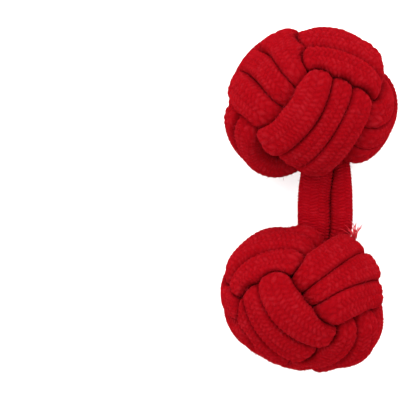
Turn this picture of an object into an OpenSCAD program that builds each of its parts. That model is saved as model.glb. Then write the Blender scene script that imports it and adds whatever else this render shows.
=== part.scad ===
// Knot cufflink: two ball knots of soft braided cord, joined by a doubled cord shank.
// It lies on its side: X to the right, Y along the shank, Z up, in millimetres.

/* [Knots] */
// Width across the upper knot, square to the shank
upper_width = 14.8; // [12:0.1:17]
// Width across the lower knot, square to the shank
lower_width = 14.0; // [12:0.1:17]
// Length of a knot along the shank, as a share of its width
knot_flatness = 0.86; // [0.8:0.01:1]
// Distance along Y between the middles of the two knots
knot_pitch = 16.3; // [16:0.1:20]
// How far across the lower knot's middle sits from the upper knot's
knot_offset = -0.6; // [-2:0.1:2]

/* [Cord] */
// Width of the shank's cord where nothing squeezes it
shank_cord = 2.7; // [2.2:0.05:2.8]
// Thickness of the shank's cord, as a share of its width
shank_flatness = 0.71; // [0.65:0.01:0.85]
// Width of the cord in a knot, as a share of the knot's width
cord_share = 0.15; // [0.13:0.005:0.16]
// Spread of the cord sideways where it is free, as a share of its width
cord_spread = 1.26; // [1:0.02:1.4]
// Air left between strands that press on each other
strand_gap = 0.12; // [0.08:0.01:0.3]

/* [Weave] */
// Latitude that the middle pass reaches at the outer end of a knot
outer_bight = 55; // [50:1:58]
// Latitude that the middle pass reaches beside the shank
shank_bight = 42; // [38:1:46]
// Distance between neighbouring passes, in cord widths
pass_spacing = 0.95; // [0.9:0.01:1.05]
// Rise of a strand where it crosses over, in cord widths
over_rise = 0.44; // [0.35:0.01:0.5]

/* [Hidden] */

CORD_RED = "#b3101c";

// A knot is one cord laid three times round along a Turk's head path. One round has four
// waves and turns three times round the ball, and its phase runs from 0 to 1440 degrees.
ROUND = 1440;
PASSES = 3;
TURN_PER_PHASE = 0.75;
LEAD_DEGREES = 6.4;
SPREAD_AT_BIGHTS = 0.1;
SPREAD_OUTWARD = 0.15;
CROSSING_STEEPNESS = 5;

// The cord's ends are tucked under a crossing, where each pass steps over to the next.
TUCK_RUN = 34;
TUCK_DEPTH = 0.8;
TUCK_ASIDE = 0.5;

// Mid surface of the weave, as a share of the knot's width
WEAVE_RADIUS = 0.359;

// How the rings of a swept cord are laid out
KNOT_RINGS = 460;
SITES_PER_RING = 2;
KNOT_SIDES = 8;
SHANK_RINGS = 25;
SHANK_SIDES = 12;

// A strand flattens against every other stretch of cord whose middle is within this reach,
// in cord widths. Its own cord counts once it is this many degrees further along.
PRESS_REACH = 1.45;
OWN_SKIP = 36;
// Roundness of a free strand's section, where 2 is an ellipse and more is squarer
SECTION_POWER = 3.4;
// Smallest reach that a squeezed section keeps, as a share of its half width
LEAST_REACH = 0.12;
// Reach where nothing is in the way
FAR = 1000;
// Step in degrees for the direction of the band
PHASE_STEP = 0.1;

// One row per knot: side of the row it faces, lean in the plane of the table, tip towards
// the table, spin about its own axis, height of its middle, and phase of the tucked ends
FACING = 0;
LEAN = 1;
TIP = 2;
SPIN = 3;
HEIGHT = 4;
TUCK_AT = 5;
KNOTS = [
    [ 1,  16, -2.5,  3.0, 7.05, 120],
    [-1, -19, -8.0, 60.5, 6.72, 1200]
];
UPPER = 0;
LOWER = 1;

// Point midway between the knots, set so that the part as a whole is centred on X and Y
MIDWAY = [-0.18, -0.18];

// Uneven spots of the hand tied knots, one row each: the pass, its phase and half length
// in degrees, then the side shift, lift and swell there, each in cord widths
SPOT_PASS = 0;
SPOT_AT = 1;
SPOT_RUN = 2;
SPOT_SIDE = 3;
SPOT_LIFT = 4;
SPOT_SWELL = 5;
UNEVEN = [
    [
        [ 1,   10, 25,  0.00, -0.25,  0.00],
        [ 1,  262, 18,  0.00, -0.25,  0.00],
        [ 1,  372, 12,  0.00, -0.15,  0.00],
        [ 1,  390, 35, -0.20, -0.10,  0.00],
        [ 1,  450, 25, -0.10, -0.15,  0.00],
        [ 1,  732, 30, -0.35, -0.07,  0.03],
        [ 1,  755, 40,  0.30,  0.00,  0.08],
        [ 1,  945, 50, -0.35, -0.10,  0.00],
        [ 1,  985, 25,  0.00, -0.60,  0.00],
        [ 1, 1160, 25,  0.00, -0.12,  0.00],
        [ 1, 1265, 20,  0.00,  0.25,  0.00],
        [ 1, 1320, 50, -0.12,  0.00,  0.08],
        [ 0,  250, 45,  0.35,  0.05,  0.00],
        [ 0,  738, 28, -0.15,  0.05, -0.06],
        [ 0,  780, 45,  0.20,  0.00, -0.10],
        [ 0,  920, 45, -0.20,  0.00,  0.00],
        [ 0, 1310, 50, -0.04,  0.00, -0.05],
        [-1,  193, 15, -0.35, -0.60,  0.00],
        [-1,  222, 14,  0.00,  0.10,  0.00],
        [-1,  240, 35,  0.60,  0.00,  0.00],
        [-1,  380, 25,  0.15,  0.00,  0.00],
        [-1,  547, 25,  0.00, -0.30,  0.00],
        [-1,  740, 25,  0.15, -0.10,  0.00],
        [-1,  780, 45,  0.10,  0.00,  0.05],
        [-1,  930, 40,  0.30,  0.00,  0.00],
        [-1, 1320, 50,  0.10,  0.00,  0.00]
    ],
    [
        [ 1,   60, 50,  0.20, -0.05,  0.00],
        [ 1,  385, 25,  0.15, -0.10,  0.00],
        [ 1,  430, 45, -0.30,  0.00,  0.00],
        [ 1,  580, 45,  0.20,  0.00,  0.00],
        [ 1,  755, 30,  0.00, -0.20,  0.00],
        [ 1,  985, 35, -0.20,  0.00,  0.08],
        [ 1, 1094, 25,  0.00, -0.18,  0.00],
        [ 0,   65, 50,  0.50,  0.00,  0.00],
        [ 0,  394, 18,  0.00, -0.15,  0.00],
        [ 0,  412, 18,  0.00,  0.20,  0.00],
        [ 0,  430, 45, -0.30,  0.10,  0.00],
        [ 0,  550, 30,  0.10, -0.10,  0.00],
        [ 0,  610, 25,  0.00,  0.10,  0.00],
        [ 0,  925, 35,  0.00,  0.16,  0.00],
        [ 0,  985, 35, -0.05,  0.00, -0.10],
        [-1,   70, 50,  0.45,  0.00,  0.14],
        [-1,  425, 45, -0.30,  0.20,  0.00],
        [-1,  440, 25,  0.15, -0.20,  0.00],
        [-1,  570, 14,  0.00, -0.20,  0.00],
        [-1,  925, 40,  0.00,  0.10,  0.00],
        [-1, 1338, 25,  0.00, -0.20,  0.00]
    ]
];

// Routes of the shank's cords, from the middle of the upper knot to that of the lower one
LEFT_ROUTE = [
    [-0.5,   8.8, 8.0],
    [ 0.1,   6.1, 8.0],
    [ 0.65,  3.1, 7.6],
    [ 0.38,  0.2, 7.3],
    [ 0.32, -2.9, 7.1],
    [-0.2,  -5.5, 7.1],
    [-0.8,  -8.8, 7.4]
];
RIGHT_ROUTE = [
    [ 0.9,   8.8, 6.4],
    [ 1.7,   6.1, 6.4],
    [ 2.4,   3.1, 6.7],
    [ 2.65,  0.2, 6.8],
    [ 2.55, -2.9, 6.5],
    [ 1.5,  -5.5, 5.7],
    [ 0.4,  -8.8, 5.8]
];

function width_of(knot) = knot == UPPER ? upper_width : lower_width;
function cord_of(knot) = width_of(knot) * cord_share;
function weave_radius(knot) = width_of(knot) * WEAVE_RADIUS;
function middle_of(knot) =
    let (half = knot == UPPER ? 0.5 : -0.5)
    [MIDWAY.x - half * knot_offset, MIDWAY.y + half * knot_pitch, KNOTS[knot][HEIGHT]];

function unit(v) = v / norm(v);
function ease(t) = t <= 0 ? 0 : t >= 1 ? 1 : t * t * (3 - 2 * t);
function tanh(x) = let (e = exp(2 * x)) (e - 1) / (e + 1);
function turn_x(v, a) = [v.x, v.y * cos(a) - v.z * sin(a), v.y * sin(a) + v.z * cos(a)];
function turn_z(v, a) = [v.x * cos(a) - v.y * sin(a), v.x * sin(a) + v.y * cos(a), v.z];

// A direction of the knot's own frame, whose +Z is its outer end, turned into the row
function turned(knot, v) =
    let (k = KNOTS[knot])
    turn_z(turn_x(turn_x(turn_z(v, k[SPIN]), -90 * k[FACING]), k[TIP]), k[LEAN]);

// Ball surface by latitude and longitude, its outward normal, and a point put back on it
function on_ball(r, lat, lon) = [
    r * cos(lat) * cos(lon), r * cos(lat) * sin(lon), r * knot_flatness * sin(lat)
];
function ball_normal(p) = unit([p.x, p.y, p.z / pow(knot_flatness, 2)]);
function back_on_ball(r, p) = p * r / norm([p.x, p.y, p.z / knot_flatness]);

// Middle line of the woven band at one phase
function band_latitude(phase) =
    (outer_bight - shank_bight) / 2 + (outer_bight + shank_bight) / 2 * cos(phase);
function band_longitude(phase) = TURN_PER_PHASE * phase + LEAD_DEGREES * sin(2 * phase);
function band(r, phase) = on_ball(r, band_latitude(phase), band_longitude(phase));

// Which pass the cord is in: 1, 0 and -1, and past those where its ends are tucked in
function step_over(phase, at) = ease((phase - at) / TUCK_RUN + 0.5);
function pass_of(knot, phase) =
    let (at = KNOTS[knot][TUCK_AT])
    1 + TUCK_ASIDE * (1 - step_over(phase, at) - step_over(phase, at + PASSES * ROUND))
      - step_over(phase, at + ROUND) - step_over(phase, at + 2 * ROUND);
function tuck_depth(knot, phase) =
    let (at = KNOTS[knot][TUCK_AT])
    TUCK_DEPTH * (1 - step_over(phase, at) + step_over(phase, at + PASSES * ROUND));

// Side shift, lift and swell at a place on the cord, summed over the uneven spots
SIDE = 0;
LIFT = 1;
SWELL = 2;
function wrapped(d) = d - ROUND * round(d / ROUND);
function sum(list) = len(list) == 0 ? 0 : list * [for (v = list) 1];
function uneven(knot, pass, phase) =
    let (shares = [for (spot = UNEVEN[knot])
        let (d = wrapped(phase - spot[SPOT_AT]) / spot[SPOT_RUN])
        exp(-d * d) * max(0, 1 - abs(pass - spot[SPOT_PASS]))])
    [for (k = [SPOT_SIDE, SPOT_LIFT, SPOT_SWELL])
        sum([for (i = [0:len(shares) - 1]) shares[i] * UNEVEN[knot][i][k]])];

// One place on a cord: its middle point, the way its section faces, its half width that way,
// the section's width across that as a share of it, and on a knot the phase
POINT = 0;
OUT = 1;
HALF = 2;
SPREAD = 3;
PHASE = 4;
function cord_place(knot, phase) =
    let (
        r = weave_radius(knot),
        w = cord_of(knot),
        pass = pass_of(knot, phase),
        uneven_spot = uneven(knot, pass, phase),
        c = band(r, phase),
        along = unit(band(r, phase + PHASE_STEP) - band(r, phase - PHASE_STEP)),
        aside = cross(ball_normal(c), along),
        spread = 1 + SPREAD_AT_BIGHTS * cos(2 * phase) + SPREAD_OUTWARD * cos(phase),
        side = pass * pass_spacing * spread + uneven_spot[SIDE],
        rise = over_rise * tanh(CROSSING_STEEPNESS * sin(2 * phase)),
        q = back_on_ball(r, c + side * w * aside),
        out = ball_normal(q),
        lift = (rise + uneven_spot[LIFT] - tuck_depth(knot, phase)) * w
    )
    [
        middle_of(knot) + turned(knot, q + lift * out),
        turned(knot, out),
        w / 2 + w * uneven_spot[SWELL],
        cord_spread,
        phase
    ];
function cord_places(knot, count) =
    let (
        first = KNOTS[knot][TUCK_AT] - TUCK_RUN,
        last = KNOTS[knot][TUCK_AT] + PASSES * ROUND + TUCK_RUN
    )
    [for (i = [0:count - 1]) cord_place(knot, first + (last - first) * i / (count - 1))];

// A smooth curve through a route's points, and the places of a shank cord along it
function spline(a, b, c, d, t) =
    b + t / 2 * (c - a) + t * t / 2 * (2 * a - 5 * b + 4 * c - d)
      + t * t * t / 2 * (3 * b - a - 3 * c + d);
function along_route(route, t) =
    let (
        last = len(route) - 1,
        i = min(last - 1, floor(t * last)),
        u = t * last - i
    )
    spline(route[max(0, i - 1)], route[i], route[i + 1], route[min(last, i + 2)], u);
function route_places(route, count, half, spread) = [for (i = [0:count - 1])
    [along_route(route, i / (count - 1)), [1, 0, 0], half, spread, undef]];

// The shank's cord is flat. On the left it lies flat, and on the right it stands on edge.
function left_places(count) =
    route_places(LEFT_ROUTE, count, shank_cord / 2, shank_flatness);
function right_places(count) =
    route_places(RIGHT_ROUTE, count, shank_cord * shank_flatness / 2, 1 / shank_flatness);

// Where every stretch of cord lies, for the strands that press on it
upper_sites = cord_places(UPPER, KNOT_RINGS * SITES_PER_RING);
lower_sites = cord_places(LOWER, KNOT_RINGS * SITES_PER_RING);
left_sites = left_places(SHANK_RINGS * SITES_PER_RING);
right_sites = right_places(SHANK_RINGS * SITES_PER_RING);

// The flat that a neighbour presses on a place: the neighbour's direction, and how far
// along it the flat lies times its distance
function press(here, there) =
    let (d = there[POINT] - here[POINT])
    [d, (d * d + pow(here[HALF], 2) - pow(there[HALF], 2)) / 2];
function apart(here, there) =
    here[PHASE] == undef || there[PHASE] == undef
        || abs(here[PHASE] - there[PHASE]) > OWN_SKIP;
function presses(here, own, others) =
    let (reach = pow(2 * PRESS_REACH * here[HALF], 2))
    [
        for (s = own) let (d = s[POINT] - here[POINT])
            if (d * d < reach && apart(here, s)) press(here, s),
        for (s = others) let (d = s[POINT] - here[POINT])
            if (d * d < reach) press(here, s)
    ];

// Reach of a section in one direction: the free section's, cut by each flat and the table
function free_reach(here, a) = here[HALF] / pow(
    pow(abs(cos(a)), SECTION_POWER) + pow(abs(sin(a)) / here[SPREAD], SECTION_POWER),
    1 / SECTION_POWER);
function flat_reach(dir, flats) = min([FAR, for (f = flats)
    let (toward = f[0] * dir) if (toward > 0) f[1] / toward]) - strand_gap / 2;
function table_reach(here, dir) = dir.z < 0 ? here[POINT].z / -dir.z : FAR;
function ring(here, along, flats, sides) =
    let (
        out = unit(here[OUT] - (here[OUT] * along) * along),
        aside = cross(along, out)
    )
    [for (k = [0:sides - 1])
        let (
            a = 360 * k / sides,
            dir = cos(a) * out + sin(a) * aside,
            squeezed = min(free_reach(here, a), flat_reach(dir, flats), table_reach(here, dir))
        )
        here[POINT] + max(squeezed, LEAST_REACH * here[HALF]) * dir];

// Skin of a swept cord: rings joined by triangles. At both ends a fan of triangles from the
// cord's middle closes it.
module swept_cord(rings, first_middle, last_middle) {
    sides = len(rings[0]);
    last = len(rings) - 1;
    fan = len(rings) * sides;
    polyhedron(
        points = concat([for (r = rings) each r], [first_middle, last_middle]),
        faces = [
            for (k = [0:sides - 1]) [fan, k, (k + 1) % sides],
            for (k = [0:sides - 1]) [fan + 1, last * sides + (k + 1) % sides, last * sides + k],
            for (i = [0:last - 1], k = [0:sides - 1])
                let (a = i * sides + k, b = i * sides + (k + 1) % sides)
                each [[a, a + sides, b], [b, a + sides, b + sides]]
        ],
        convexity = 10
    );
}

// Places of a cord drawn as rings, each squeezed by the cords round it
module pressed_cord(places, own, others, sides) {
    last = len(places) - 1;
    rings = [for (i = [0:last])
        let (
            here = places[i],
            along = unit(places[min(last, i + 1)][POINT] - places[max(0, i - 1)][POINT])
        )
        ring(here, along, presses(here, own, others), sides)];
    swept_cord(rings, places[0][POINT], places[last][POINT]);
}

module knot(which, sites) {
    pressed_cord(
        cord_places(which, KNOT_RINGS), sites, concat(left_sites, right_sites), KNOT_SIDES
    );
}

module upper_knot() {
    color(CORD_RED) knot(UPPER, upper_sites);
}

module lower_knot() {
    color(CORD_RED) knot(LOWER, lower_sites);
}

module shank_cord(places, other) {
    pressed_cord(places, [], concat(upper_sites, lower_sites, other), SHANK_SIDES);
}

module shank_cord_left() {
    color(CORD_RED) shank_cord(left_places(SHANK_RINGS), right_sites);
}

module shank_cord_right() {
    color(CORD_RED) shank_cord(right_places(SHANK_RINGS), left_sites);
}

upper_knot();
lower_knot();
shank_cord_left();
shank_cord_right();
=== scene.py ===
import bpy
import math
import numpy as np
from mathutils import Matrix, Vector


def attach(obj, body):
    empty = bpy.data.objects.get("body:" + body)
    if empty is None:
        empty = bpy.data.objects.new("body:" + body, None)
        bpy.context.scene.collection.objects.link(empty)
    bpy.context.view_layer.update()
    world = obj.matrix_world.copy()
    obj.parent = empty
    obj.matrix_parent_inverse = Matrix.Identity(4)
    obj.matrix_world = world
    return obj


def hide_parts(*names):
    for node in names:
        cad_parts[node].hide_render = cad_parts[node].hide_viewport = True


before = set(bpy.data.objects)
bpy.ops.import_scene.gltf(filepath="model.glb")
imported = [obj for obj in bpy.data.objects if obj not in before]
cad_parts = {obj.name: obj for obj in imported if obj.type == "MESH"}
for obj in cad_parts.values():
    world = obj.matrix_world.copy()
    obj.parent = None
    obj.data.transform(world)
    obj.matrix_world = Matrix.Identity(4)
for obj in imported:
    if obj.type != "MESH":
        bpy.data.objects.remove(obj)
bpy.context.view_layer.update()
MM = 0.001

# Camera
# The knots are seen from straight above through a long lens. They lie in the right half of the
# picture, so its middle is left of them.
VIEW_WIDTH = 33.6 * MM
VIEW_MIDDLE = Vector((-9.18 * MM, -0.11 * MM, 7.0 * MM))
CAMERA_DISTANCE = 0.45
lens = bpy.data.cameras.new("camera")
lens.sensor_width = 36.0
lens.lens = lens.sensor_width * CAMERA_DISTANCE / VIEW_WIDTH
lens.clip_start = 0.01
camera = bpy.data.objects.new("camera", lens)
camera.location = VIEW_MIDDLE + Vector((0, 0, CAMERA_DISTANCE))
bpy.context.collection.objects.link(camera)
bpy.context.scene.camera = camera
bpy.context.scene.view_settings.view_transform = "Standard"


# Studio
# A plain white table under one wide soft light from above the top of the picture, with a
# weaker light from each side, so that the shadows on the table stay faint.
LIGHTS_AIM = (0, 0, 6 * MM)
SKY_STRENGTH = 1.45
TABLE_HALF = 1.5
TABLE_WHITE = (0.9, 0.9, 0.9, 1)


def soft_light(name, place, size, watts):
    lamp = bpy.data.lights.new(name, "AREA")
    lamp.shape = "SQUARE"
    lamp.size = size
    lamp.energy = watts
    light = bpy.data.objects.new(name, lamp)
    light.location = place
    toward = Vector(LIGHTS_AIM) - Vector(place)
    light.rotation_euler = toward.to_track_quat("-Z", "Y").to_euler()
    bpy.context.collection.objects.link(light)


soft_light("top_light", place=(-0.02, 0.2, 0.36), size=0.4, watts=3.2)
soft_light("left_light", place=(-0.34, -0.06, 0.22), size=0.3, watts=0.8)
soft_light("right_light", place=(0.34, -0.08, 0.22), size=0.3, watts=0.7)

sky = bpy.data.worlds.new("pale_room")
sky.use_nodes = True
sky.node_tree.nodes["Background"].inputs["Color"].default_value = (1, 1, 1, 1)
sky.node_tree.nodes["Background"].inputs["Strength"].default_value = SKY_STRENGTH
bpy.context.scene.world = sky

table_mesh = bpy.data.meshes.new("table")
table_mesh.from_pydata(
    [(-TABLE_HALF, -TABLE_HALF, 0), (TABLE_HALF, -TABLE_HALF, 0),
     (TABLE_HALF, TABLE_HALF, 0), (-TABLE_HALF, TABLE_HALF, 0)], [], [(0, 1, 2, 3)])
table = bpy.data.objects.new("table", table_mesh)
bpy.context.collection.objects.link(table)
white = bpy.data.materials.new("white_table")
white.use_nodes = True
painted = white.node_tree.nodes["Principled BSDF"]
painted.inputs["Base Color"].default_value = TABLE_WHITE
painted.inputs["Roughness"].default_value = 0.7
table.data.materials.append(white)


# Upper knot
# One soft braided cord, tied as a Turk's head of three leads and four bights and laid three
# times round, so that three strands run side by side. The strands press each other flat.
# Its ends are tucked in under a crossing.

# One round of the weave has four waves and turns three times round the ball. Its phase runs
# from 0 to 1440 degrees. The bights are the latitudes, in degrees, that the middle pass reaches.
ROUND = 1440.0
PASSES = 3
TURN_PER_PHASE = 0.75
OUTER_BIGHT = 55.0
SHANK_BIGHT = 42.0
LEAD_DEGREES = 6.4
SPREAD_AT_BIGHTS = 0.1
SPREAD_OUTWARD = 0.15
CROSSING_STEEPNESS = 5.0
PHASE_STEP = 0.1

# The ball's length along the shank, the weave's radius and the cord's width are shares of
# the knot's width. The spacing of the passes and their rise are in cord widths. A free cord is
# wider than it is thick by its spread.
KNOT_FLATNESS = 0.86
WEAVE_RADIUS = 0.359
CORD_SHARE = 0.15
CORD_SPREAD = 1.26
PASS_SPACING = 0.95
OVER_RISE = 0.44

# Under one crossing, each pass steps over to the next within a run in degrees. The cord's ends
# are tucked in there, this deep in cord widths and this far aside in passes.
TUCK_RUN = 34.0
TUCK_DEPTH = 0.8
TUCK_ASIDE = 0.5

# Where the cord runs below, its skin has this share of the rings that it has on top. The rings
# thin out over this depth of the wave that takes it over and under.
HIDDEN_SHARE = 0.35
HIDDEN_FADE = 0.5
PHASE_SAMPLES = 20000

# Roundness of a free section, where 2 is an ellipse and more is squarer
KNOT_POWER = 3.4
SHANK_POWER = 2.2

# Strands press on each other within a reach in cord widths, and a cord on itself once it is
# this many degrees further along. They overlap by a little, in mm, which closes the crease.
# A squeezed section keeps a least reach, as a share of its half width.
PRESS_REACH = 1.45
OWN_SKIP = 36.0
STRAND_OVERLAP = 0.02
LEAST_REACH = 0.12
FAR = 1e3
NEARLY_ZERO = 1e-6

# Points of a section crowd towards its outer side. The flats are blurred a few times, and
# the squeeze more often; the material turns the squeeze into painted crease shade. A cord's
# closed ends count as half squeezed, so they get painted crease shade too.
KNOT_SIDES = 34
OUTSIDE_CROWDING = 0.35
FLAT_BLUR = 3
CREASE_BLUR = 11
END_SQUEEZE = 0.5

# The braid has columns of stitches round the cord. Its relief, in mm, is counted from a
# middle height, so that the cord about keeps its width, and is gone at a squeeze of a third.
KNOT_COLUMNS = 14
KNOT_STITCH = 0.35
SLANT = 0.45
STITCH_ROUNDNESS = 0.7
COLUMN_ROUNDNESS = 0.5
COLUMN_EDGE = 0.3
RELIEF_DEPTH = 0.14
RELIEF_MIDDLE = 0.58
RELIEF_FADE = 3

# Waves of these lengths and depth, in mm, keep the rows of stitches from lying too evenly.
# Each turns up to three times round the cord and is shifted by a chance angle in radians.
DRIFT_WAVES = 12
DRIFT_SHORTEST = 0.9
DRIFT_RANGE = 5
DRIFT_DEPTH = 0.016
DRIFT_TURNS = 3
DRIFT_SHIFT = 7


def turn_x(v, degrees):
    c, s = math.cos(math.radians(degrees)), math.sin(math.radians(degrees))
    return np.stack([v[:, 0], v[:, 1] * c - v[:, 2] * s, v[:, 1] * s + v[:, 2] * c], 1)


def turn_z(v, degrees):
    c, s = math.cos(math.radians(degrees)), math.sin(math.radians(degrees))
    return np.stack([v[:, 0] * c - v[:, 1] * s, v[:, 0] * s + v[:, 1] * c, v[:, 2]], 1)


def unit(v):
    return v / np.linalg.norm(v, axis=1, keepdims=True)


def ease(t):
    t = np.clip(t, 0, 1)
    return t * t * (3 - 2 * t)


def knot_phases(knot, count):
    """Phases of a knot's cord, close together where it lies on top and shows its stitches."""
    start = knot["tuck_at"]
    fine = np.linspace(start - TUCK_RUN, start + PASSES * ROUND + TUCK_RUN, PHASE_SAMPLES)
    on_top = ease((np.sin(2 * np.radians(fine)) + HIDDEN_FADE) / HIDDEN_FADE)
    share = HIDDEN_SHARE + (1 - HIDDEN_SHARE) * on_top
    done = np.concatenate([[0], np.cumsum((share[1:] + share[:-1]) / 2)])
    return np.interp(np.linspace(0, done[-1], count), done, fine)


def knot_path(knot, phase):
    """Middle points, outward normals, half widths and phases of a knot's cord, in mm."""
    count = len(phase)
    radius = knot["width"] * WEAVE_RADIUS
    cord = knot["width"] * CORD_SHARE
    start = knot["tuck_at"]

    def band(at):
        wave = np.cos(np.radians(at))
        lat = np.radians((OUTER_BIGHT - SHANK_BIGHT) / 2 + (OUTER_BIGHT + SHANK_BIGHT) / 2 * wave)
        lon = np.radians(TURN_PER_PHASE * at + LEAD_DEGREES * np.sin(2 * np.radians(at)))
        return radius * np.stack([np.cos(lat) * np.cos(lon), np.cos(lat) * np.sin(lon),
                                  KNOT_FLATNESS * np.sin(lat)], 1)

    def normal(point):
        return unit(point / np.array([1, 1, KNOT_FLATNESS ** 2]))

    def step(at):
        return ease((phase - at) / TUCK_RUN + 0.5)

    lane = (1 + TUCK_ASIDE * (1 - step(start) - step(start + PASSES * ROUND))
            - step(start + ROUND) - step(start + 2 * ROUND))
    tuck = TUCK_DEPTH * (1 - step(start) + step(start + PASSES * ROUND))
    side, lift, swell = np.zeros(count), np.zeros(count), np.zeros(count)
    for at_lane, at_phase, half_length, by_side, by_lift, by_swell in knot["uneven"]:
        away = phase - at_phase
        away = away - ROUND * np.round(away / ROUND)
        share = np.exp(-(away / half_length) ** 2) * np.maximum(0, 1 - abs(lane - at_lane))
        side = side + share * by_side
        lift = lift + share * by_lift
        swell = swell + share * by_swell
    middle_line = band(phase)
    along = unit(band(phase + PHASE_STEP) - band(phase - PHASE_STEP))
    aside = np.cross(normal(middle_line), along)
    spread = (1 + SPREAD_AT_BIGHTS * np.cos(2 * np.radians(phase))
              + SPREAD_OUTWARD * np.cos(np.radians(phase)))
    on_ball = middle_line + ((lane * PASS_SPACING * spread + side) * cord)[:, None] * aside
    size = np.linalg.norm(on_ball / np.array([1, 1, KNOT_FLATNESS]), axis=1)
    on_ball = on_ball * (radius / size)[:, None]
    out = normal(on_ball)
    rise = OVER_RISE * np.tanh(CROSSING_STEEPNESS * np.sin(2 * np.radians(phase)))
    woven = on_ball + ((rise + lift - tuck) * cord)[:, None] * out

    def turned(v):
        v = turn_x(turn_z(v, knot["spin"]), -90 * knot["facing"])
        return turn_z(turn_x(v, knot["tip"]), knot["lean"])

    return {"at": np.array(knot["middle"]) + turned(woven), "out": turned(out),
            "half": cord * (0.5 + swell), "spread": CORD_SPREAD, "power": KNOT_POWER,
            "phase": phase}


def route_path(route, count, half, spread):
    """A smooth curve through a route's points, in mm, for a cord whose section faces +X."""
    route = np.array(route, float)
    last = len(route) - 1
    t = np.linspace(0, last, count)
    i = np.minimum(last - 1, t.astype(int))
    u = (t - i)[:, None]
    a, b = route[np.maximum(0, i - 1)], route[i]
    c, d = route[i + 1], route[np.minimum(last, i + 2)]
    at = (b + u / 2 * (c - a) + u ** 2 / 2 * (2 * a - 5 * b + 4 * c - d)
          + u ** 3 / 2 * (3 * b - a - 3 * c + d))
    return {"at": at, "out": np.tile([1.0, 0, 0], (count, 1)), "half": np.full(count, half),
            "spread": spread, "power": SHANK_POWER, "phase": np.full(count, np.nan)}


def stitch_height(around, along, stitch_length):
    """Height of the braid's relief, from 0 to 1. The shader group works out the same pattern."""
    column = np.floor(around)
    across = around - column
    odd = np.mod(column, 2)
    rows = along / stitch_length + (across - 0.5) * (2 * odd - 1) * SLANT + 0.5 * odd
    stitch = rows - np.floor(rows)
    round_along = np.sin(np.pi * stitch) ** STITCH_ROUNDNESS
    round_across = np.sin(np.pi * across) ** COLUMN_ROUNDNESS
    return round_along * (COLUMN_EDGE + (1 - COLUMN_EDGE) * round_across)


def pressed_rings(path, others, sides, columns, stitch_length, seed):
    """Rings of a cord's skin, squeezed by every other stretch of cord that lies near."""
    at, half, phase = path["at"], path["half"], path["phase"]
    count = len(at)
    ahead = np.minimum(np.arange(count) + 1, count - 1)
    behind = np.maximum(np.arange(count) - 1, 0)
    along = unit(at[ahead] - at[behind])
    out = unit(path["out"] - np.sum(path["out"] * along, 1, keepdims=True) * along)
    aside = np.cross(along, out)
    turn = np.arange(sides) * 2 * np.pi / sides
    angle = turn - OUTSIDE_CROWDING * np.sin(turn)
    power = path["power"]
    free = (abs(np.cos(angle)) ** power
            + abs(np.sin(angle) / path["spread"]) ** power) ** (-1 / power)
    sites = np.concatenate([at] + [o["at"] for o in others])
    site_half = np.concatenate([half] + [o["half"] for o in others])
    reach = np.empty((count, sides))
    ways = np.empty((count, sides, 3))
    for i in range(count):
        offset = sites - at[i]
        square = np.sum(offset * offset, 1)
        near = square < (2 * PRESS_REACH * half[i]) ** 2
        near[:count] &= ~np.isnan(phase[i]) & (abs(phase - phase[i]) > OWN_SKIP)
        offset, square, other_half = offset[near], square[near], site_half[near]
        way = np.cos(angle)[:, None] * out[i] + np.sin(angle)[:, None] * aside[i]
        toward = way @ offset.T
        flat = (square + half[i] ** 2 - other_half ** 2) / 2
        stops = np.where(toward > NEARLY_ZERO, flat / np.maximum(toward, NEARLY_ZERO), FAR)
        stops = stops + STRAND_OVERLAP / 2
        limit = stops.min(1) if stops.shape[1] else np.full(sides, FAR)
        down = -way[:, 2]
        table_stop = np.where(down > NEARLY_ZERO, at[i, 2] / np.maximum(down, NEARLY_ZERO), FAR)
        reach[i] = np.minimum(np.minimum(free * half[i], limit), table_stop)
        ways[i] = way
    for k in range(FLAT_BLUR):
        reach = (np.roll(reach, 1, 1) + 2 * reach + np.roll(reach, -1, 1)) / 4
        padded = np.pad(reach, ((1, 1), (0, 0)), mode="edge")
        reach = (padded[:-2] + 2 * padded[1:-1] + padded[2:]) / 4
    reach = np.maximum(reach, LEAST_REACH * half[:, None])
    squeeze = 1 - reach / (free[None, :] * half[:, None])
    for k in range(CREASE_BLUR):
        squeeze = (np.roll(squeeze, 1, 1) + 2 * squeeze + np.roll(squeeze, -1, 1)) / 4
    rings = at[:, None, :] + reach[:, :, None] * ways
    arc = np.linalg.norm(np.roll(rings, -1, 1) - rings, axis=2)
    around = np.concatenate([np.zeros((count, 1)), np.cumsum(arc, 1)[:, :-1]], 1)
    around = around / arc.sum(1, keepdims=True)
    length = np.concatenate([[0], np.cumsum(np.linalg.norm(np.diff(at, axis=0), axis=1))])
    chance = np.random.default_rng(seed)
    drift = np.zeros((count, sides))
    for k in range(DRIFT_WAVES):
        wave = 2 * np.pi / (DRIFT_SHORTEST + DRIFT_RANGE * chance.random())
        turns = chance.integers(1, DRIFT_TURNS + 1)
        shift = DRIFT_SHIFT * chance.random()
        drift += DRIFT_DEPTH * np.sin(wave * length[:, None] + turns * angle[None] + shift)
    along_cord = length[:, None] + drift
    relief = (stitch_height(around * columns, along_cord, stitch_length)
              * np.clip(1 - RELIEF_FADE * squeeze, 0, 1))
    rings = rings + (RELIEF_DEPTH * (relief - RELIEF_MIDDLE))[:, :, None] * ways
    return rings, around, along_cord, squeeze


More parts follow.
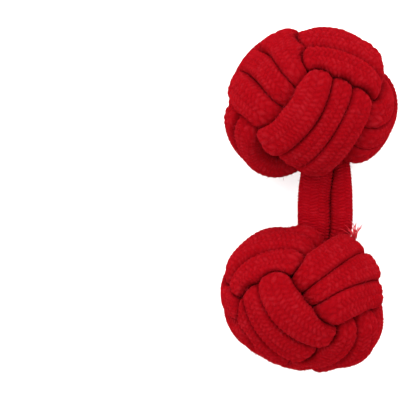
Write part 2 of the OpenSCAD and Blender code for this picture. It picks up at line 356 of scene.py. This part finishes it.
def cord_piece(name, path, others, sides, columns, stitch_length, seed):
    """A closed mesh of the squeezed cord. Its attributes tell the material where round and
    along the cord a point lies, and how far the strand is squeezed there."""
    rings, around, along_cord, squeeze = pressed_rings(
        path, others, sides, columns, stitch_length, seed)
    count = len(rings)
    ends = rings[[0, -1]].mean(1)
    points = np.concatenate([rings.reshape(-1, 3), ends]) * MM
    i, k = np.meshgrid(np.arange(count - 1), np.arange(sides), indexing="ij")
    a, b = i * sides + k, i * sides + (k + 1) % sides
    quads = np.stack([a, b, b + sides, a + sides], -1).reshape(-1, 4)
    k = np.arange(sides)
    first = np.stack([np.full(sides, count * sides), (k + 1) % sides, k], 1)
    tail = (count - 1) * sides
    last = np.stack([np.full(sides, count * sides + 1), tail + k, tail + (k + 1) % sides], 1)
    mesh = bpy.data.meshes.new(name)
    mesh.from_pydata(points.tolist(), [], quads.tolist() + first.tolist() + last.tolist())
    turn = 2 * np.pi * around
    place = np.stack([np.cos(turn), np.sin(turn), along_cord], 2).reshape(-1, 3)
    place = np.concatenate([place, [[1, 0, 0], [1, 0, along_cord.max()]]])
    # The closed ends' squeeze only feeds the painted crease shade
    squeezes = np.concatenate([squeeze.ravel(), [END_SQUEEZE, END_SQUEEZE]])
    cord_place = mesh.attributes.new("cord_place", "FLOAT_VECTOR", "POINT")
    cord_place.data.foreach_set("vector", place.ravel())
    mesh.attributes.new("squeeze", "FLOAT", "POINT").data.foreach_set("value", squeezes)
    mesh.polygons.foreach_set("use_smooth", np.ones(len(mesh.polygons), bool))
    mesh.update()
    piece = bpy.data.objects.new(name, mesh)
    bpy.context.collection.objects.link(piece)
    return piece, (rings, squeeze)


# Stitches differ a little in height, and each has three fine yarns side by side
STITCH_VARIETY = 0.35
YARNS_IN_STITCH = 3
YARN_RELIEF = 0.06

# Tone from 0 to 1: a stitch gets a painted highlight on its crest and painted shade in its
# groove, and the dye varies in patches. Scales of patches are per metre.
DYE_SCALE = 420.0
DYE_DETAIL = 4.0
DYE_SHARE = 0.4
DYE_BASE = 0.05
HEIGHT_SHADING_SHARE = 0.42
CHANCE_SHARE = 0.13
GROOVE_TONE = 0.1
YARN_TONE = 0.55
CREST_TONE = 0.95

# Painted crease shade darkens the colour between these two squeezes. Noise picks patches where
# it is darkest, as in an open crease; elsewhere the crease gets a painted lightening that lifts
# its real shade.
CREASE_SHADE_START = 0.02
CREASE_SHADE_FULL = 0.18
CREASE_SHADE_STRENGTH = 0.6
OPEN_SCALE = 260.0
OPEN_DETAIL = 1.0
OPEN_START = 0.36
OPEN_FULL = 0.6
CLOSED_CREASE_PAINTED_LIGHT = (0.16, 0.0016, 0.004, 1)
OPEN_CREASE_PAINTED_SHADE = (0.035, 0.0002, 0.0006, 1)

# Bumps that the material adds to the relief: the same stitches, and fine hairs
STITCH_BUMP = 0.3
STITCH_BUMP_DEPTH = 0.06 * MM
HAIR_SCALE = 9000.0
HAIR_DETAIL = 2.0
HAIR_BUMP = 0.35
HAIR_BUMP_DEPTH = 0.02 * MM

# A Mix node's colour sockets share their names with its other sockets, so they go by number
MIX_FIRST = 6
MIX_SECOND = 7
MIX_RESULT = 2


def cord_weave():
    """Shader group: colour and relief of braided cord. Its yarns cross nearly square to the
    cord, and neighbouring columns of stitches slant to opposite sides. The dye is slightly
    uneven. Grooves get painted shade and crests a painted highlight. Where the cord is squeezed
    it gets painted crease shade, darkest in patches that stand for open creases, and a painted
    lightening in the other patches."""
    group = bpy.data.node_groups.new("cord_weave", "ShaderNodeTree")
    # The groove and crest reds carry painted shade and a painted highlight as well as the dye
    for name, kind in (("Cord place", "Vector"), ("Position", "Vector"), ("Squeeze", "Float"),
                       ("Columns", "Float"), ("Stitch", "Float"), ("Slant", "Float"),
                       ("Dark dye and groove shade", "Color"), ("Yarn red", "Color"), ("Pale dye and crest highlight", "Color")):
        group.interface.new_socket(name, in_out="INPUT", socket_type="NodeSocket" + kind)
    group.interface.new_socket("Colour", in_out="OUTPUT", socket_type="NodeSocketColor")
    group.interface.new_socket("Normal", in_out="OUTPUT", socket_type="NodeSocketVector")
    nodes, links = group.nodes, group.links
    given, result = nodes.new("NodeGroupInput"), nodes.new("NodeGroupOutput")

    def feed(socket, value):
        if isinstance(value, bpy.types.NodeSocket):
            links.new(value, socket)
        else:
            socket.default_value = value

    def maths(operation, *values):
        node = nodes.new("ShaderNodeMath")
        node.operation = operation
        for socket, value in zip(node.inputs, values):
            feed(socket, value)
        return node.outputs[0]

    def noise(scale, detail):
        node = nodes.new("ShaderNodeTexNoise")
        node.inputs["Scale"].default_value = scale
        node.inputs["Detail"].default_value = detail
        links.new(given.outputs["Position"], node.inputs["Vector"])
        return node.outputs["Fac"]

    def share_between(value, low, high):
        node = nodes.new("ShaderNodeMapRange")
        links.new(value, node.inputs["Value"])
        node.inputs["From Min"].default_value = low
        node.inputs["From Max"].default_value = high
        return node.outputs["Result"]

    def blend(share, first, second):
        node = nodes.new("ShaderNodeMix")
        node.data_type = "RGBA"
        links.new(share, node.inputs["Factor"])
        feed(node.inputs[MIX_FIRST], first)
        feed(node.inputs[MIX_SECOND], second)
        return node.outputs[MIX_RESULT]

    def bump(height, strength, distance):
        node = nodes.new("ShaderNodeBump")
        links.new(height, node.inputs["Height"])
        node.inputs["Strength"].default_value = strength
        node.inputs["Distance"].default_value = distance
        return node

    split = nodes.new("ShaderNodeSeparateXYZ")
    links.new(given.outputs["Cord place"], split.inputs[0])
    angle = maths("ARCTAN2", split.outputs["Y"], split.outputs["X"])
    turned = maths("ADD", maths("DIVIDE", angle, 2 * math.pi), maths("LESS_THAN", angle, 0.0))
    around = maths("MULTIPLY", turned, given.outputs["Columns"])
    column = maths("FLOOR", around)
    across = maths("SUBTRACT", around, column)
    odd = maths("MODULO", column, 2.0)
    side = maths("SUBTRACT", maths("MULTIPLY", odd, 2.0), 1.0)
    slant = maths("MULTIPLY", maths("SUBTRACT", across, 0.5), side)
    slant = maths("MULTIPLY", slant, given.outputs["Slant"])
    rows = maths("DIVIDE", split.outputs["Z"], given.outputs["Stitch"])
    rows = maths("ADD", rows, maths("ADD", slant, maths("MULTIPLY", odd, 0.5)))
    row = maths("FLOOR", rows)
    stitch = maths("SUBTRACT", rows, row)
    cell = nodes.new("ShaderNodeCombineXYZ")
    links.new(row, cell.inputs["X"])
    links.new(column, cell.inputs["Y"])
    chance = nodes.new("ShaderNodeTexWhiteNoise")
    chance.noise_dimensions = "2D"
    links.new(cell.outputs["Vector"], chance.inputs["Vector"])

    round_along = maths("SINE", maths("MULTIPLY", stitch, math.pi))
    round_along = maths("POWER", round_along, STITCH_ROUNDNESS)
    round_across = maths("SINE", maths("MULTIPLY", across, math.pi))
    round_across = maths("POWER", round_across, COLUMN_ROUNDNESS)
    pad = maths("MULTIPLY_ADD", round_across, 1 - COLUMN_EDGE, COLUMN_EDGE)
    variety = maths("MULTIPLY_ADD", chance.outputs["Value"], STITCH_VARIETY, 1 - STITCH_VARIETY)
    height = maths("MULTIPLY", maths("MULTIPLY", round_along, pad), variety)
    fine_yarns = maths("SINE", maths("MULTIPLY", stitch, 2 * math.pi * YARNS_IN_STITCH))
    height = maths("MULTIPLY_ADD", fine_yarns, YARN_RELIEF, height)

    dye = maths("MULTIPLY_ADD", noise(DYE_SCALE, DYE_DETAIL), DYE_SHARE, DYE_BASE)
    tone = maths("MULTIPLY_ADD", chance.outputs["Value"], CHANCE_SHARE, dye)
    # Painted light: the relief's height lightens crests and darkens grooves
    tone = maths("MULTIPLY_ADD", height, HEIGHT_SHADING_SHARE, tone)
    red = blend(share_between(tone, GROOVE_TONE, YARN_TONE),
                given.outputs["Dark dye and groove shade"], given.outputs["Yarn red"])
    red = blend(share_between(tone, YARN_TONE, CREST_TONE), red, given.outputs["Pale dye and crest highlight"])
    # Painted crease shade, darkest in noise patches, and a painted lightening in the other patches
    open_share = share_between(noise(OPEN_SCALE, OPEN_DETAIL), OPEN_START, OPEN_FULL)
    painted_crease_red = blend(open_share, CLOSED_CREASE_PAINTED_LIGHT, OPEN_CREASE_PAINTED_SHADE)
    crease = share_between(given.outputs["Squeeze"], CREASE_SHADE_START, CREASE_SHADE_FULL)
    crease = maths("MULTIPLY", crease, CREASE_SHADE_STRENGTH)
    links.new(blend(crease, red, painted_crease_red), result.inputs["Colour"])

    stitches = bump(height, STITCH_BUMP, STITCH_BUMP_DEPTH)
    hairs = bump(noise(HAIR_SCALE, HAIR_DETAIL), HAIR_BUMP, HAIR_BUMP_DEPTH)
    links.new(stitches.outputs["Normal"], hairs.inputs["Normal"])
    links.new(hairs.outputs["Normal"], result.inputs["Normal"])
    return group


# A fibre bends at random by about this share of its length, thins along it, and ends in a point
FIBRE_SIDES = 3
FIBRE_JOINTS = 4
FIBRE_BEND = 0.45
FIBRE_TAPER = 0.5


def fibres(name, roots, ways, lengths, thickness, seed):
    """Fine curved fibres, each a closed three-sided spike, as one mesh in mm."""
    chance = np.random.default_rng(seed)
    count = len(roots)
    side = unit(np.cross(ways, chance.normal(size=(count, 3))))
    other = np.cross(ways, side)
    bend = chance.normal(size=(count, 2)) * FIBRE_BEND
    points = []
    for j in range(FIBRE_JOINTS):
        t = j / (FIBRE_JOINTS - 1)
        middle = roots + (lengths * t)[:, None] * (
            ways + t * (bend[:, :1] * side + bend[:, 1:] * other))
        if j == FIBRE_JOINTS - 1:
            points.append(middle[:, None, :])
            continue
        turns = np.arange(FIBRE_SIDES) * 2 * np.pi / FIBRE_SIDES
        ring = (np.cos(turns)[None, :, None] * side[:, None, :]
                + np.sin(turns)[None, :, None] * other[:, None, :])
        points.append(middle[:, None, :] + ring * thickness / 2 * (1 - FIBRE_TAPER * t))
    points = np.concatenate(points, 1)
    shape = [(0, 2, 1)]
    n = FIBRE_SIDES
    for j in range(FIBRE_JOINTS - 2):
        for k in range(n):
            a, b = n * j + k, n * j + (k + 1) % n
            shape += [(a, b, b + n), (a, b + n, a + n)]
    top = n * (FIBRE_JOINTS - 2)
    shape += [(top + k, top + (k + 1) % n, top + n) for k in range(n)]
    step = points.shape[1]
    faces = (np.arange(count) * step)[:, None, None] + np.array(shape)[None]
    mesh = bpy.data.meshes.new(name)
    mesh.from_pydata((points.reshape(-1, 3) * MM).tolist(), [], faces.reshape(-1, 3).tolist())
    mesh.polygons.foreach_set("use_smooth", np.ones(len(mesh.polygons), bool))
    mesh.update()
    piece = bpy.data.objects.new(name, mesh)
    bpy.context.collection.objects.link(piece)
    return piece


# Loose fibres stand on skin that is little squeezed, and lean out from it at random. Most are
# of the usual lengths, and only a few come near the longest. Lengths are in mm.
FUZZ_MOST_SQUEEZE = 0.25
FUZZ_SCATTER = 0.9
FUZZ_LEAST_LEAN = 0.1
FUZZ_STRAIGHTENED = 0.3
FUZZ_SHORTEST = 0.1
FUZZ_USUAL = 0.26
FUZZ_RARITY = 12
FUZZ_ROOT = 0.02
FUZZ_THICKNESS = 0.03
LEAST_AREA = 1e-9
KNOT_FUZZ_COUNT = 4000
KNOT_FUZZ_LONGEST = 0.6


def fuzz(name, skin, middle, least_distance, count, longest, seed):
    """Short loose fibres on skin that is little squeezed, further from a middle than the least
    distance, and high enough for the longest to stay off the table."""
    rings, squeeze = skin
    chance = np.random.default_rng(seed)
    along = np.gradient(rings, axis=0)
    around = (np.roll(rings, -1, 1) - np.roll(rings, 1, 1)) / 2
    area = np.cross(around, along)
    size = np.linalg.norm(area, axis=2)
    normal = area / np.maximum(size, LEAST_AREA)[:, :, None]
    centre = rings.mean(1, keepdims=True)
    normal = normal * np.sign(np.sum(normal * (rings - centre), 2, keepdims=True))
    away = np.linalg.norm(rings - np.array(middle), axis=2)
    share = (size * (squeeze < FUZZ_MOST_SQUEEZE) * (away > least_distance)
             * (rings[:, :, 2] > longest))
    share[:2], share[-2:] = 0, 0
    picks = chance.choice(share.size, count, p=share.ravel() / share.sum())
    i, k = np.unravel_index(picks, share.shape)
    slide = chance.random((count, 2))
    roots = (rings[i, k] + (rings[i + 1, k] - rings[i, k]) * slide[:, :1]
             + (rings[i, (k + 1) % rings.shape[1]] - rings[i, k]) * slide[:, 1:])
    outward = normal[i, k]
    ways = unit(outward + FUZZ_SCATTER * chance.normal(size=(count, 3)))
    lean = np.sum(ways * outward, 1, keepdims=True)
    ways = np.where(lean < FUZZ_LEAST_LEAN, unit(outward + FUZZ_STRAIGHTENED * ways), ways)
    lengths = (FUZZ_SHORTEST + (FUZZ_USUAL - FUZZ_SHORTEST) * chance.random(count)
               + (longest - FUZZ_USUAL) * chance.random(count) ** FUZZ_RARITY)
    return fibres(name, roots - FUZZ_ROOT * outward, ways, lengths, FUZZ_THICKNESS, seed + 1)


# Fibres differ in patches of this scale, per metre
FIBRE_PATCHES = 900.0


def fibre_dye():
    """Shader group: a dark and a pale red, mixed in small patches from fibre to fibre."""
    group = bpy.data.node_groups.new("fibre_dye", "ShaderNodeTree")
    group.interface.new_socket("Position", in_out="INPUT", socket_type="NodeSocketVector")
    group.interface.new_socket("Dark red", in_out="INPUT", socket_type="NodeSocketColor")
    group.interface.new_socket("Pale red", in_out="INPUT", socket_type="NodeSocketColor")
    group.interface.new_socket("Colour", in_out="OUTPUT", socket_type="NodeSocketColor")
    nodes, links = group.nodes, group.links
    given, result = nodes.new("NodeGroupInput"), nodes.new("NodeGroupOutput")
    patches = nodes.new("ShaderNodeTexNoise")
    patches.inputs["Scale"].default_value = FIBRE_PATCHES
    links.new(given.outputs["Position"], patches.inputs["Vector"])
    red = nodes.new("ShaderNodeMix")
    red.data_type = "RGBA"
    links.new(patches.outputs["Fac"], red.inputs["Factor"])
    links.new(given.outputs["Dark red"], red.inputs[MIX_FIRST])
    links.new(given.outputs["Pale red"], red.inputs[MIX_SECOND])
    links.new(red.outputs[MIX_RESULT], result.inputs["Colour"])
    return group


def fibre_material(name, dye, dark, pale):
    """Loose fibres of the same dyed yarn, in a paler red than the cord."""
    material = bpy.data.materials.new(name)
    material.use_nodes = True
    nodes, links = material.node_tree.nodes, material.node_tree.links
    where = nodes.new("ShaderNodeTexCoord")
    red = nodes.new("ShaderNodeGroup")
    red.node_tree = dye
    red.inputs["Dark red"].default_value = dark
    red.inputs["Pale red"].default_value = pale
    links.new(where.outputs["Object"], red.inputs["Position"])
    skin = nodes["Principled BSDF"]
    links.new(red.outputs["Colour"], skin.inputs["Base Color"])
    skin.inputs["Roughness"].default_value = 0.8
    skin.inputs["Specular IOR Level"].default_value = 0.0
    return material


def cord_material(name, weave, columns, stitch_length, groove, yarn, crest):
    """Dyed cord: matt, with a faint sheen, and light sinks a little way into it."""
    material = bpy.data.materials.new(name)
    material.use_nodes = True
    nodes, links = material.node_tree.nodes, material.node_tree.links
    place = nodes.new("ShaderNodeAttribute")
    place.attribute_name = "cord_place"
    squeeze = nodes.new("ShaderNodeAttribute")
    squeeze.attribute_name = "squeeze"
    where = nodes.new("ShaderNodeTexCoord")
    braid = nodes.new("ShaderNodeGroup")
    braid.node_tree = weave
    braid.inputs["Columns"].default_value = columns
    braid.inputs["Stitch"].default_value = stitch_length
    braid.inputs["Slant"].default_value = SLANT
    # Groove and crest reds: dye with painted shade in grooves and a painted highlight on crests
    braid.inputs["Dark dye and groove shade"].default_value = groove
    braid.inputs["Yarn red"].default_value = yarn
    braid.inputs["Pale dye and crest highlight"].default_value = crest
    links.new(place.outputs["Vector"], braid.inputs["Cord place"])
    links.new(squeeze.outputs["Fac"], braid.inputs["Squeeze"])
    links.new(where.outputs["Object"], braid.inputs["Position"])
    skin = nodes["Principled BSDF"]
    links.new(braid.outputs["Colour"], skin.inputs["Base Color"])
    links.new(braid.outputs["Normal"], skin.inputs["Normal"])
    skin.inputs["Roughness"].default_value = 0.75
    skin.inputs["Specular IOR Level"].default_value = 0.0
    skin.inputs["Subsurface Weight"].default_value = 0.35
    skin.inputs["Subsurface Radius"].default_value = (1.0, 0.12, 0.12)
    skin.inputs["Subsurface Scale"].default_value = 0.25 * MM
    skin.inputs["Sheen Weight"].default_value = 0.04
    skin.inputs["Sheen Roughness"].default_value = 0.5
    skin.inputs["Sheen Tint"].default_value = (1.0, 0.04, 0.06, 1)
    return material


# Facing is 1 for the knot at +Y and -1 for the one at -Y. Lean lies in the plane of the table,
# tip is towards the table, and spin is about the knot's own axis. An uneven spot has its pass,
# phase and half length in degrees, then side shift, lift and swell in cord widths.
upper = {
    "width": 14.8, "middle": (0.12, 7.97, 7.05), "tuck_at": 120,
    "facing": 1, "lean": 16, "tip": -2.5, "spin": 3,
    "rings": 2880, "fuzz_from": 5.6, "skin_seed": 1, "fuzz_seed": 11,
    "uneven": [
        (1, 10, 25, 0, -0.25, 0), (1, 262, 18, 0, -0.25, 0), (1, 372, 12, 0, -0.15, 0),
        (1, 390, 35, -0.2, -0.1, 0), (1, 450, 25, -0.1, -0.15, 0), (1, 732, 30, -0.35, -0.07, 0.03),
        (1, 755, 40, 0.3, 0, 0.08), (1, 945, 50, -0.35, -0.1, 0), (1, 985, 25, 0, -0.6, 0),
        (1, 1160, 25, 0, -0.12, 0), (1, 1265, 20, 0, 0.25, 0), (1, 1320, 50, -0.12, 0, 0.08),
        (0, 250, 45, 0.35, 0.05, 0), (0, 738, 28, -0.15, 0.05, -0.06), (0, 780, 45, 0.2, 0, -0.1),
        (0, 920, 45, -0.2, 0, 0), (0, 1310, 50, -0.04, 0, -0.05), (-1, 193, 15, -0.35, -0.6, 0),
        (-1, 222, 14, 0, 0.1, 0), (-1, 240, 35, 0.6, 0, 0), (-1, 380, 25, 0.15, 0, 0),
        (-1, 547, 25, 0, -0.3, 0), (-1, 740, 25, 0.15, -0.1, 0), (-1, 780, 45, 0.1, 0, 0.05),
        (-1, 930, 40, 0.3, 0, 0), (-1, 1320, 50, 0.1, 0, 0)]}

# The shank's two cords press on both knots, so their routes stand here. They start deep inside
# the upper knot and end deep inside the lower one. The left cord lies flat, the right on edge.
SHANK_CORD = 2.7
SHANK_FLATNESS = 0.71
SHANK_RINGS = 300
left_route = [(-0.5, 8.8, 8.0), (0.1, 6.1, 8.0), (0.65, 3.1, 7.6), (0.38, 0.2, 7.3),
              (0.32, -2.9, 7.1), (-0.2, -5.5, 7.1), (-0.8, -8.8, 7.4)]
right_route = [(0.9, 8.8, 6.4), (1.7, 6.1, 6.4), (2.4, 3.1, 6.7), (2.65, 0.2, 6.8),
               (2.55, -2.9, 6.5), (1.5, -5.5, 5.7), (0.4, -8.8, 5.8)]
left_path = route_path(left_route, SHANK_RINGS, SHANK_CORD / 2, SHANK_FLATNESS)
right_path = route_path(right_route, SHANK_RINGS, SHANK_CORD / 2 * SHANK_FLATNESS,
                        1 / SHANK_FLATNESS)

# Dye's darker and paler red, with painted shade in grooves and a painted highlight on crests
KNOT_DARK_DYE_AND_GROOVE_SHADE = (0.112, 0.0007, 0.0018, 1)
KNOT_YARN = (0.15, 0.0014, 0.0032, 1)
KNOT_PALE_DYE_AND_CREST_HIGHLIGHT = (0.178, 0.005, 0.008, 1)
weave = cord_weave()
knot_red = cord_material("knot_cord", weave, KNOT_COLUMNS, KNOT_STITCH,
                         KNOT_DARK_DYE_AND_GROOVE_SHADE, KNOT_YARN, KNOT_PALE_DYE_AND_CREST_HIGHLIGHT)
upper_path = knot_path(upper, knot_phases(upper, upper["rings"]))
upper_piece, upper_skin = cord_piece("upper_knot_cord", upper_path, [left_path, right_path],
                                     KNOT_SIDES, KNOT_COLUMNS, KNOT_STITCH, upper["skin_seed"])
upper_piece.data.materials.append(knot_red)
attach(upper_piece, "root")
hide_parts("upper_knot")

FUZZ_DARK = (0.19, 0.0056, 0.0098, 1)
FUZZ_PALE = (0.35, 0.0104, 0.018, 1)
dye = fibre_dye()
fuzz_red = fibre_material("loose_fibres", dye, FUZZ_DARK, FUZZ_PALE)
upper_fuzz = fuzz("upper_knot_fuzz", upper_skin, upper["middle"], upper["fuzz_from"],
                  KNOT_FUZZ_COUNT, KNOT_FUZZ_LONGEST, upper["fuzz_seed"])
upper_fuzz.data.materials.append(fuzz_red)
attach(upper_fuzz, "root")

# Lower knot
# The same knot of braided cord, tied in the same way, with knot and cord a little smaller. It is
# drawn up less evenly: one strand in front is made over a quarter thicker than its neighbours.
lower = {
    "width": 14.0, "middle": (-0.48, -8.33, 6.72), "tuck_at": 1200,
    "facing": -1, "lean": -19, "tip": -8, "spin": 60.5,
    "rings": 2740, "fuzz_from": 5.3, "skin_seed": 2, "fuzz_seed": 21,
    "uneven": [
        (1, 60, 50, 0.2, -0.05, 0), (1, 385, 25, 0.15, -0.1, 0), (1, 430, 45, -0.3, 0, 0),
        (1, 580, 45, 0.2, 0, 0), (1, 755, 30, 0, -0.2, 0), (1, 985, 35, -0.2, 0, 0.08),
        (1, 1094, 25, 0, -0.18, 0), (0, 65, 50, 0.5, 0, 0), (0, 394, 18, 0, -0.15, 0),
        (0, 412, 18, 0, 0.2, 0), (0, 430, 45, -0.3, 0.1, 0), (0, 550, 30, 0.1, -0.1, 0),
        (0, 610, 25, 0, 0.1, 0), (0, 925, 35, 0, 0.16, 0), (0, 985, 35, -0.05, 0, -0.1),
        (-1, 70, 50, 0.45, 0, 0.14), (-1, 425, 45, -0.3, 0.2, 0), (-1, 440, 25, 0.15, -0.2, 0),
        (-1, 570, 14, 0, -0.2, 0), (-1, 925, 40, 0, 0.1, 0), (-1, 1338, 25, 0, -0.2, 0)]}

lower_path = knot_path(lower, knot_phases(lower, lower["rings"]))
lower_piece, lower_skin = cord_piece("lower_knot_cord", lower_path, [left_path, right_path],
                                     KNOT_SIDES, KNOT_COLUMNS, KNOT_STITCH, lower["skin_seed"])
lower_piece.data.materials.append(knot_red)
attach(lower_piece, "root")
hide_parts("lower_knot")

lower_fuzz = fuzz("lower_knot_fuzz", lower_skin, lower["middle"], lower["fuzz_from"],
                  KNOT_FUZZ_COUNT, KNOT_FUZZ_LONGEST, lower["fuzz_seed"])
lower_fuzz.data.materials.append(fuzz_red)
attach(lower_fuzz, "root")

# Shank
# Two strands of flat braided cord that join the knots and are held inside both. The left one
# lies flat, and the right one stands on edge beside it. The braid shows as fine ribs across.
SHANK_SIDES = 64
SHANK_COLUMNS = 10
SHANK_STITCH = 0.26
SHANK_SKIN_SEED = 3
# Dye's darker and paler red, with painted shade in grooves and a painted highlight on crests
SHANK_DARK_DYE_AND_GROOVE_SHADE = (0.115, 0.0004, 0.0015, 1)
SHANK_YARN = (0.155, 0.0012, 0.0032, 1)
SHANK_PALE_DYE_AND_CREST_HIGHLIGHT = (0.19, 0.003, 0.006, 1)
# Fuzz may grow at any distance from the shank's middle
SHANK_FUZZ_MIDDLE = (0, 0, 0)
SHANK_FUZZ_FROM = 0
SHANK_FUZZ_COUNT = 600
SHANK_FUZZ_LONGEST = 0.3
SHANK_FUZZ_SEED = 41

shank_red = cord_material("shank_cord", weave, SHANK_COLUMNS, SHANK_STITCH,
                          SHANK_DARK_DYE_AND_GROOVE_SHADE, SHANK_YARN, SHANK_PALE_DYE_AND_CREST_HIGHLIGHT)
for name, node, path, other in (
        ("left_shank_cord", "shank_cord_left", left_path, right_path),
        ("right_shank_cord", "shank_cord_right", right_path, left_path)):
    piece, skin = cord_piece(name, path, [upper_path, lower_path, other],
                             SHANK_SIDES, SHANK_COLUMNS, SHANK_STITCH, SHANK_SKIN_SEED)
    piece.data.materials.append(shank_red)
    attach(piece, "root")
    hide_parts(node)
    hairs = fuzz(name.replace("cord", "fuzz"), skin, SHANK_FUZZ_MIDDLE, SHANK_FUZZ_FROM,
                 SHANK_FUZZ_COUNT, SHANK_FUZZ_LONGEST, SHANK_FUZZ_SEED)
    hairs.data.materials.append(fuzz_red)
    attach(hairs, "root")

# Frayed tuft
# Where the shank meets the lower knot on the right, yarns of the braid have worn loose. They
# point along the shank, towards the upper knot. Lengths are in mm.
TUFT_ROOT = np.array([3.78, -3.45, 7.8])
TUFT_SPREAD = (0.1, 0.15, 0.2)
TUFT_WAY = np.array([0.05, 1.0, 0.1])
TUFT_SCATTER = 0.1
TUFT_COUNT = 44
TUFT_SHORTEST = 1.0
TUFT_RANGE = 0.5
TUFT_YARN = 0.08
TUFT_PLACE_SEED = 31
TUFT_BEND_SEED = 32
WORN_DARK = (0.28, 0.0126, 0.018, 1)
WORN_PALE = (0.52, 0.0234, 0.034, 1)

loose = np.random.default_rng(TUFT_PLACE_SEED)
tuft_roots = TUFT_ROOT + loose.normal(size=(TUFT_COUNT, 3)) * TUFT_SPREAD
tuft_ways = unit(TUFT_WAY + TUFT_SCATTER * loose.normal(size=(TUFT_COUNT, 3)))
tuft_lengths = TUFT_SHORTEST + TUFT_RANGE * loose.random(TUFT_COUNT)
tuft = fibres("frayed_tuft", tuft_roots, tuft_ways, tuft_lengths, TUFT_YARN, TUFT_BEND_SEED)
worn_red = fibre_material("worn_yarn", dye, WORN_DARK, WORN_PALE)
tuft.data.materials.append(worn_red)
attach(tuft, "root")
